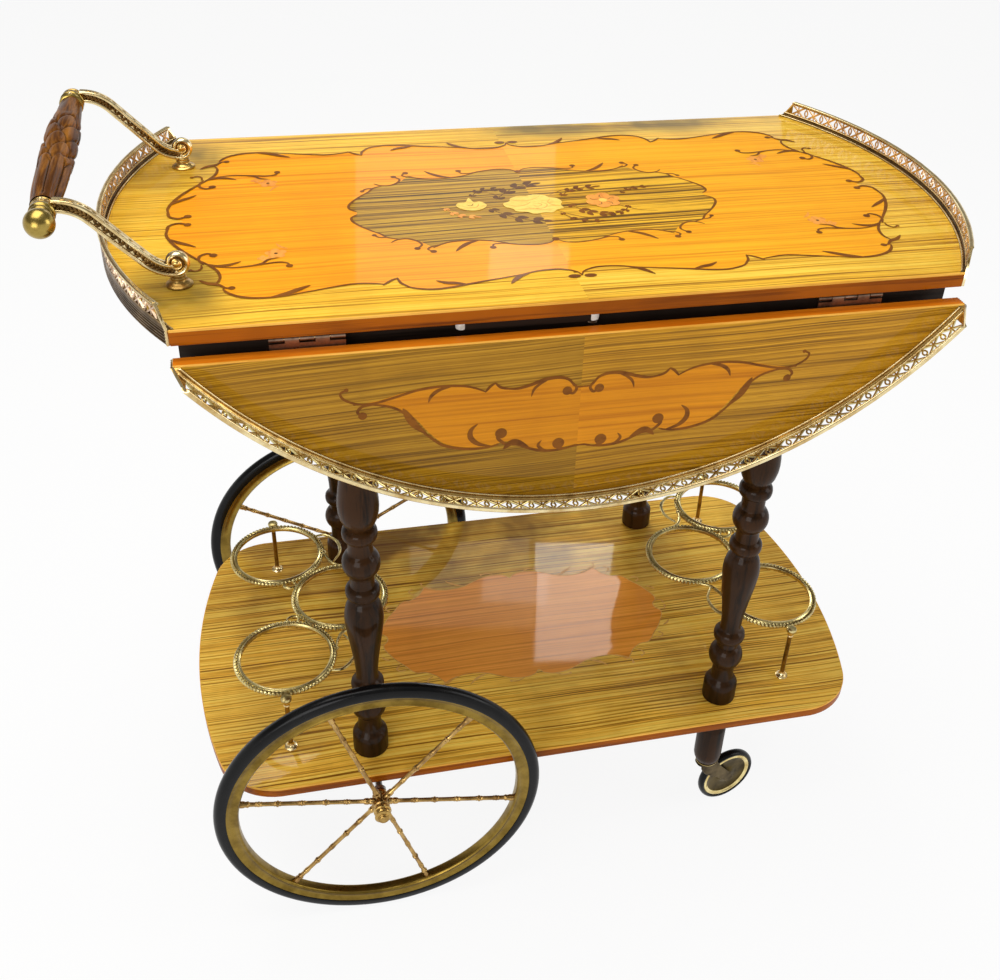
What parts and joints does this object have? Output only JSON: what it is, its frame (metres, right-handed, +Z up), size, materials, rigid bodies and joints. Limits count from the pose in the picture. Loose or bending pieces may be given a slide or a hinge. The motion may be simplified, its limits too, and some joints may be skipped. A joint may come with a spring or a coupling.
{
  "type": "drop leaf tea trolley",
  "caption": "Drop leaf serving trolley with inlaid top, pierced brass galleries, push handle, bottle rings on a lower shelf, large spoked wheels and swivel casters.",
  "frame": {"origin": "on the floor, under the middle of the whole trolley", "axes": "+X along the table away from the handle, -Y the front, +Z up"},
  "size_m": [0.8363, 0.488, 0.8188],
  "materials": {
    "veneered_board": "gloss lacquer",
    "marquetry": "gloss lacquer",
    "turned_wood": "gloss lacquer",
    "frame_wood": "satin",
    "carved_wood": "gloss lacquer",
    "tyre": "satin",
    "steel": "satin",
    "hinge_brass": "polished",
    "glide_nylon": "satin",
    "caster_bronze": "satin",
    "brass": "polished"
  },
  "bodies": {
    "carcass": {"top_board": "veneered_board", "top_field_inlay": "marquetry", "top_medallion_inlay": "marquetry", "handle_end_gallery": "brass", "far_end_gallery": "brass", "front_rail": "frame_wood", "back_rail": "frame_wood", "cross_rails": "frame_wood", "front_left_leg": "turned_wood", "front_right_leg": "turned_wood", "back_left_leg": "turned_wood", "back_right_leg": "turned_wood", "lower_shelf": "veneered_board", "shelf_medallion_inlay": "marquetry", "wheel_axle": "steel", "axle_clips": "steel", "wheel_caps": "brass", "front_caster_post": "turned_wood", "back_caster_post": "turned_wood", "caster_sockets": "caster_bronze", "left_bottle_rings": "brass", "right_bottle_rings": "brass", "bottle_ring_posts": "brass", "front_handle_arm": "brass", "back_handle_arm": "brass", "handle_grip": "carved_wood", "handle_rod": "steel", "handle_end_caps": "brass", "front_hinge_plates": "hinge_brass", "back_hinge_plates": "hinge_brass", "hinge_pins": "steel", "support_pivots": "steel"},
    "front_leaf": {"front_leaf_board": "veneered_board", "front_leaf_inlay": "marquetry", "front_leaf_gallery": "brass", "front_leaf_hinge_plates": "hinge_brass"},
    "back_leaf": {"back_leaf_board": "veneered_board", "back_leaf_inlay": "marquetry", "back_leaf_gallery": "brass", "back_leaf_hinge_plates": "hinge_brass"},
    "front_support": {"front_support_arm": "frame_wood", "front_support_glide": "glide_nylon"},
    "back_support": {"back_support_arm": "frame_wood", "back_support_glide": "glide_nylon"},
    "front_wheel": {"front_wheel_tyre": "tyre", "front_wheel_rim": "brass", "front_wheel_spokes": "brass", "front_wheel_hub": "brass"},
    "back_wheel": {"back_wheel_tyre": "tyre", "back_wheel_rim": "brass", "back_wheel_spokes": "brass", "back_wheel_hub": "brass"},
    "front_caster": {"front_caster_fork": "caster_bronze", "front_caster_axle": "caster_bronze"},
    "front_caster_wheel": {"front_caster_disc": "brass", "front_caster_tyre": "tyre"},
    "back_caster": {"back_caster_fork": "caster_bronze", "back_caster_axle": "caster_bronze"},
    "back_caster_wheel": {"back_caster_disc": "brass", "back_caster_tyre": "tyre"}
  },
  "joints": [
    {"name": "front_leaf_hinge", "type": "hinge", "parent": "carcass", "child": "front_leaf", "pos_m": [0.01865, -0.198, 0.715], "axis": [-1, 0, 0], "range_deg": [0, 90]},
    {"name": "back_leaf_hinge", "type": "hinge", "parent": "carcass", "child": "back_leaf", "pos_m": [0.01865, 0.198, 0.715], "axis": [1, 0, 0], "range_deg": [0, 90]},
    {"name": "front_support_swing", "type": "hinge", "parent": "carcass", "child": "front_support", "pos_m": [0.02065, -0.1935, 0.714], "axis": [0, 0, 1], "range_deg": [0, 90]},
    {"name": "back_support_swing", "type": "hinge", "parent": "carcass", "child": "back_support", "pos_m": [0.01665, 0.1935, 0.714], "axis": [0, 0, 1], "range_deg": [0, 90]},
    {"name": "front_wheel_spin", "type": "hinge", "parent": "carcass", "child": "front_wheel", "pos_m": [-0.17605, -0.219, 0.1693], "axis": [0, 1, 0], "continuous": true},
    {"name": "back_wheel_spin", "type": "hinge", "parent": "carcass", "child": "back_wheel", "pos_m": [-0.17605, 0.219, 0.1693], "axis": [0, 1, 0], "continuous": true},
    {"name": "front_caster_swivel", "type": "hinge", "parent": "carcass", "child": "front_caster", "pos_m": [0.21625, -0.16, 0.081], "axis": [0, 0, 1], "continuous": true},
    {"name": "front_caster_roll", "type": "hinge", "parent": "front_caster", "child": "front_caster_wheel", "pos_m": [0.24889, -0.15246, 0.0372], "axis": [-0.225, 0.9744, 0], "continuous": true},
    {"name": "back_caster_swivel", "type": "hinge", "parent": "carcass", "child": "back_caster", "pos_m": [0.21625, 0.16, 0.081], "axis": [0, 0, 1], "continuous": true},
    {"name": "back_caster_roll", "type": "hinge", "parent": "back_caster", "child": "back_caster_wheel", "pos_m": [0.24889, 0.16754, 0.0372], "axis": [-0.225, 0.9744, 0], "continuous": true}
  ]
}
